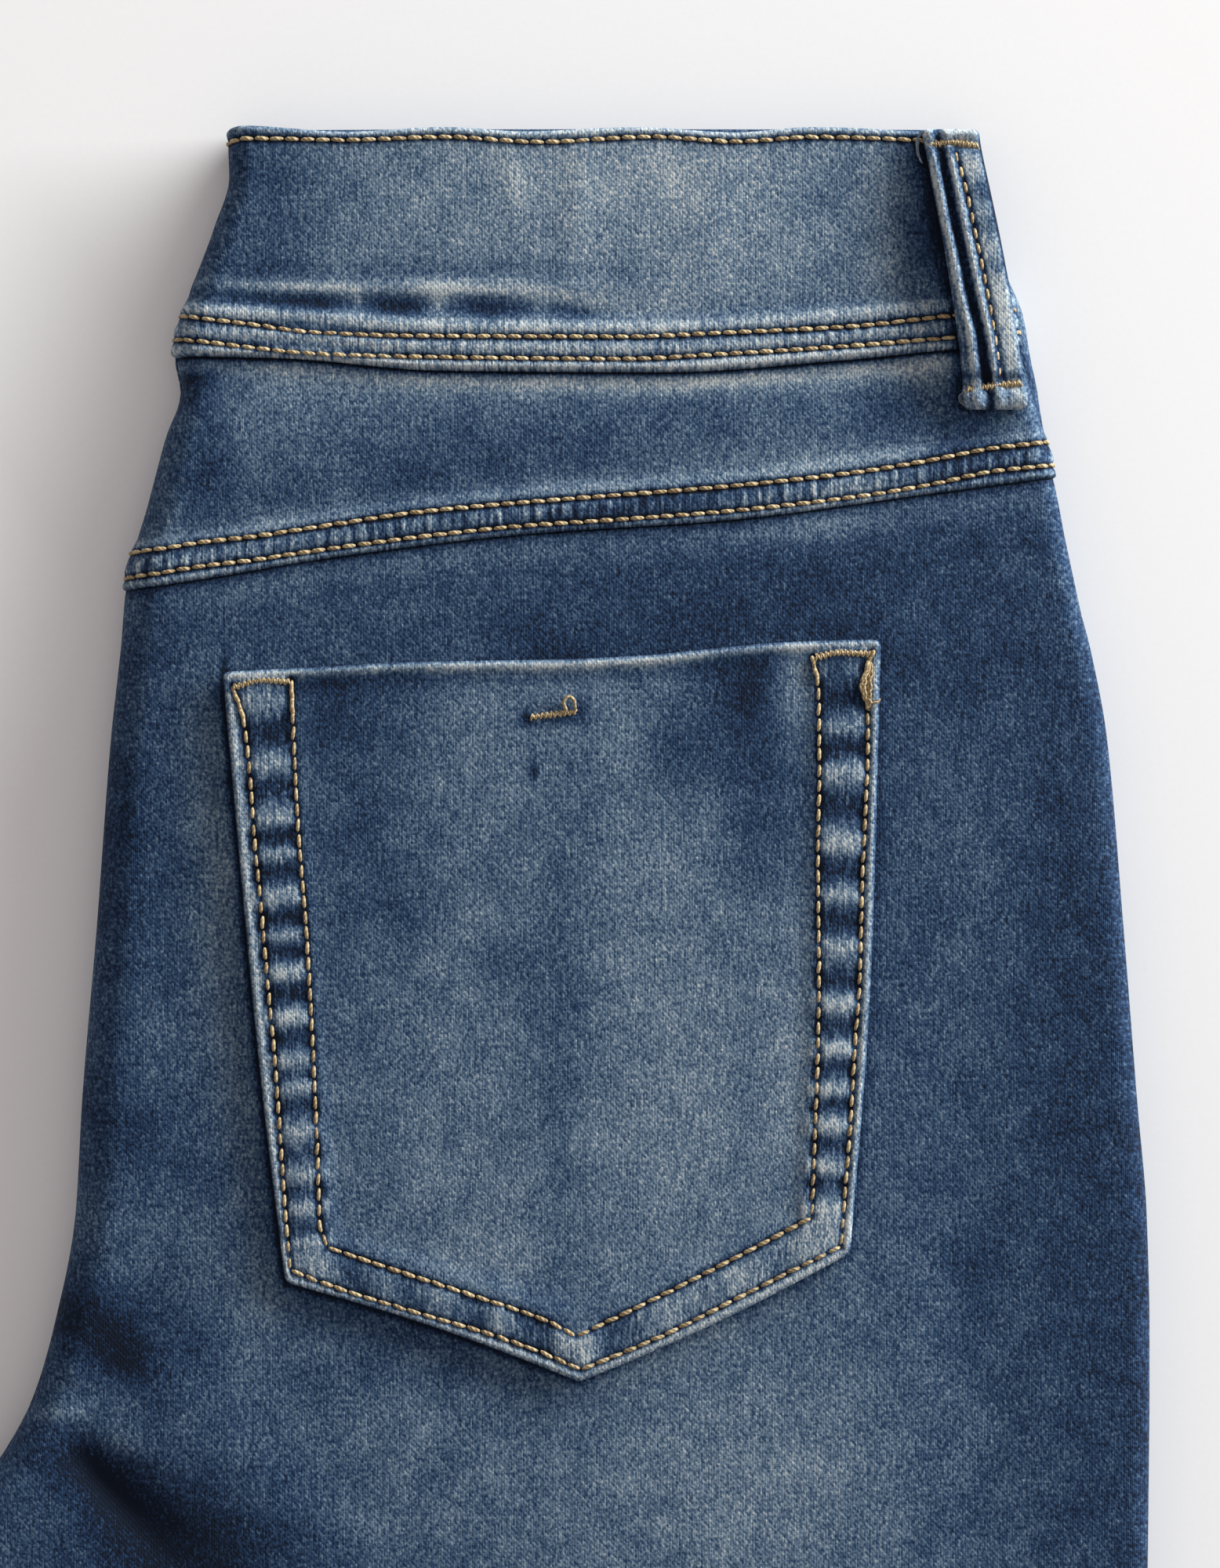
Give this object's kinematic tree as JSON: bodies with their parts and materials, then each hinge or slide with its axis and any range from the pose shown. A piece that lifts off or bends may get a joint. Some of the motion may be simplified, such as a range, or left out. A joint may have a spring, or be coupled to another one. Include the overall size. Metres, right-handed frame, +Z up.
{
  "type": "folded skinny jeans",
  "caption": "Skinny jeans folded lengthwise and laid flat, back up, with a wide waistband, yoke, patch pocket and belt loop in stone-washed denim.",
  "frame": {"origin": "centre of the bounding box in plan, on the surface that the garment rests on", "axes": "+Y to the waist along the leg, +X to the side seams, +Z up from the resting face"},
  "size_m": [0.2671, 1.03, 0.0186],
  "materials": {
    "washed_denim": "stone-washed stretch twill",
    "faded_denim": "worn stretch twill, paler",
    "deep_denim": "stretch twill with little fading"
  },
  "bodies": {
    "root": {"waistband": "washed_denim", "back_yoke": "washed_denim", "back_leg": "washed_denim", "back_pocket": "faded_denim", "belt_loop": "faded_denim", "hidden_layers": "deep_denim"}
  },
  "joints": []
}
